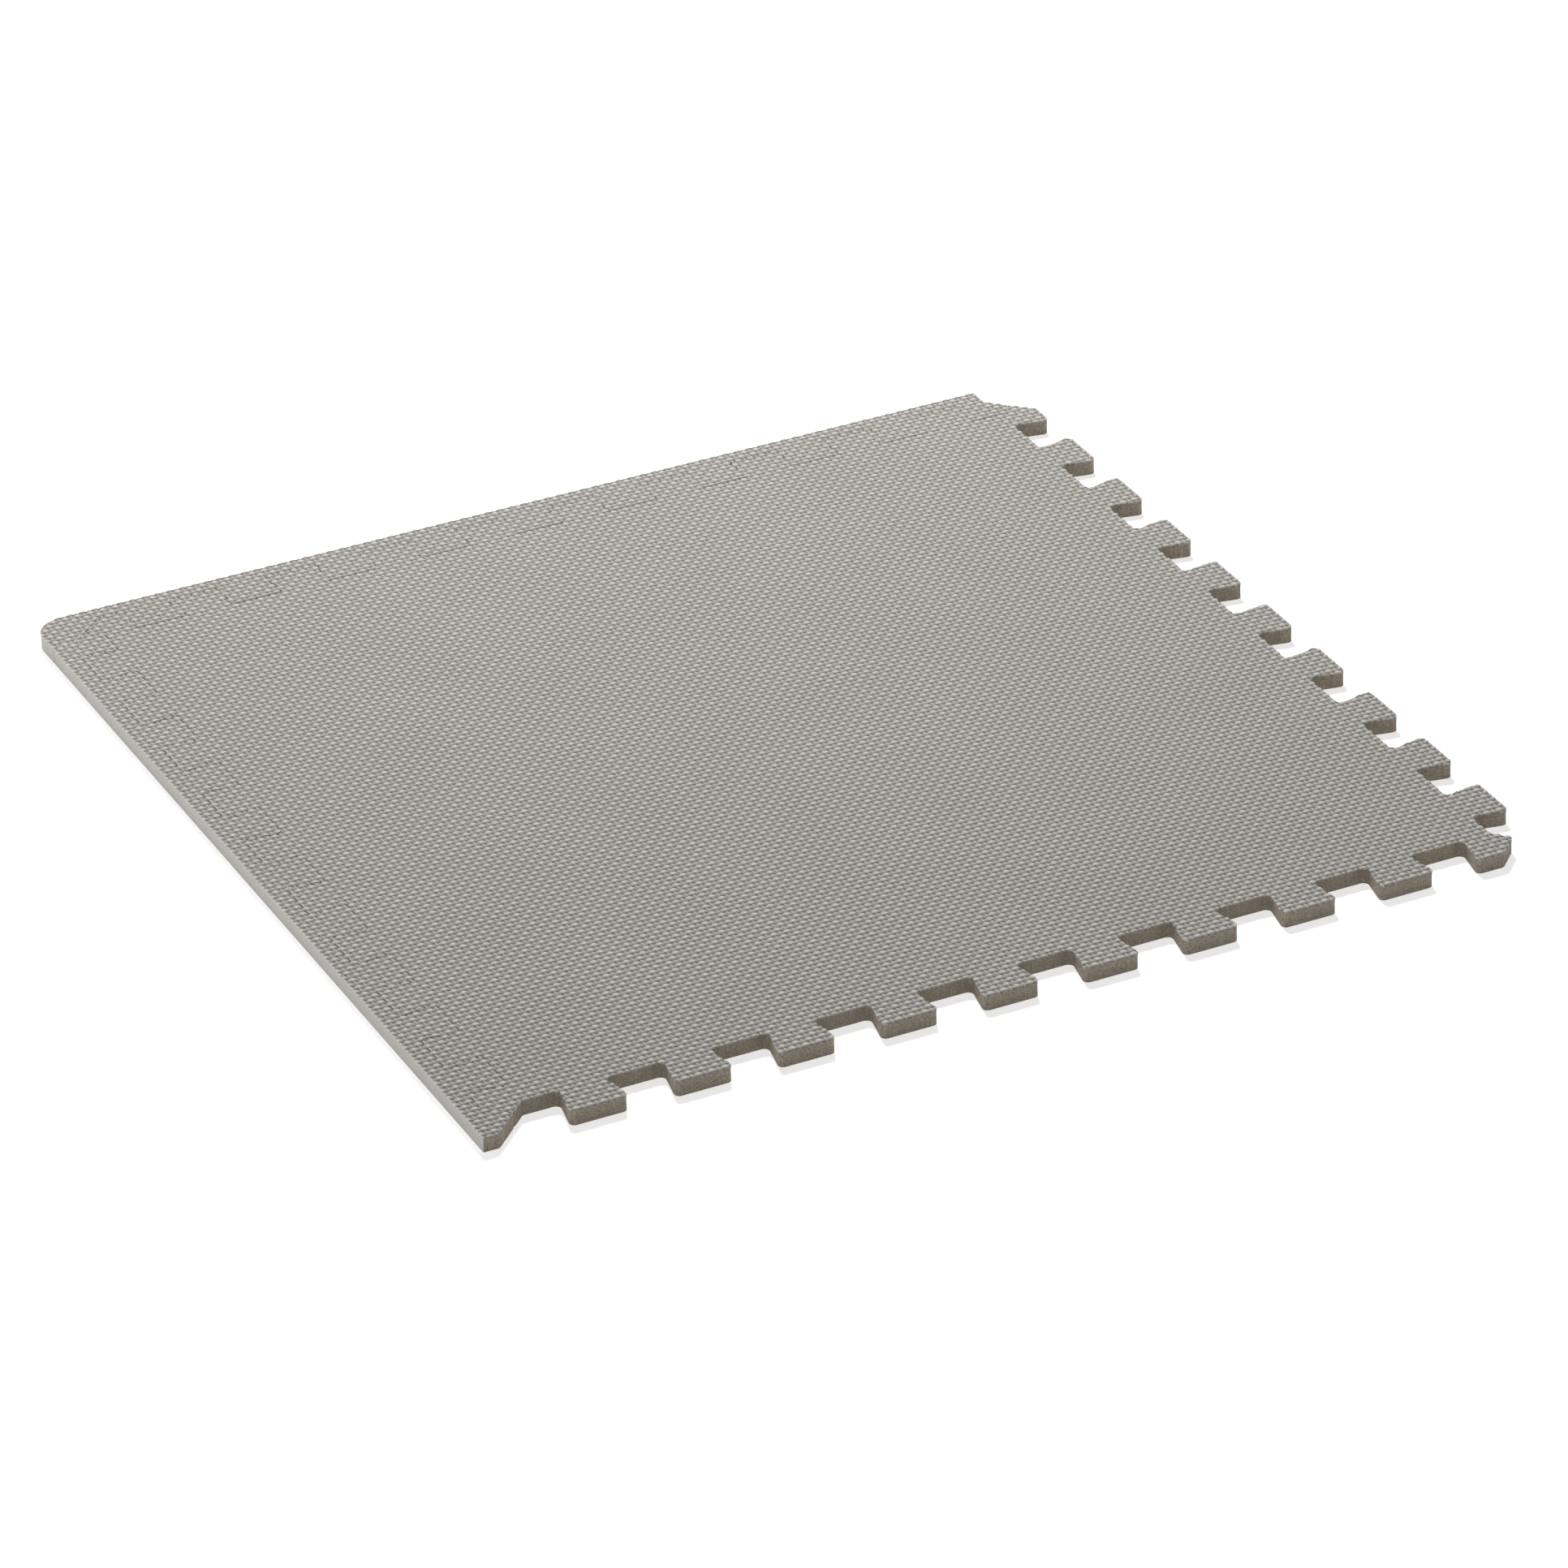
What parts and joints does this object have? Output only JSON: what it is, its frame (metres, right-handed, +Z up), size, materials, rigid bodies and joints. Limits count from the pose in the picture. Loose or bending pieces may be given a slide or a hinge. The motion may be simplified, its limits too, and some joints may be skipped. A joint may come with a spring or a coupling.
{
  "type": "interlocking foam blocking mat",
  "caption": "Square foam blocking mat with dovetail teeth on its open sides and fitted lift-off border strips, for pinning out damp knitting.",
  "frame": {"origin": "on the floor, under the middle of the mat's bounding box", "axes": "+Z up out of the patterned working face, +X along the front side to the right toothed side, +Y from the front toothed side to the rear border strip"},
  "size_m": [0.633, 0.6346, 0.01],
  "materials": {
    "tile_foam": "matt closed-cell foam with an embossed top",
    "left_strip_foam": "matt closed-cell foam with an embossed top",
    "rear_strip_foam": "matt closed-cell foam with an embossed top"
  },
  "bodies": {
    "tile": {"foam_tile": "tile_foam"},
    "left_strip": {"left_border_strip": "left_strip_foam"},
    "rear_strip": {"rear_border_strip": "rear_strip_foam"}
  },
  "joints": [
    {"name": "left_strip_lift", "type": "slide", "parent": "tile", "child": "left_strip", "axis": [0, 0, 1], "range_m": [0, 0.02]},
    {"name": "rear_strip_lift", "type": "slide", "parent": "tile", "child": "rear_strip", "axis": [0, 0, 1], "range_m": [0, 0.02]}
  ]
}
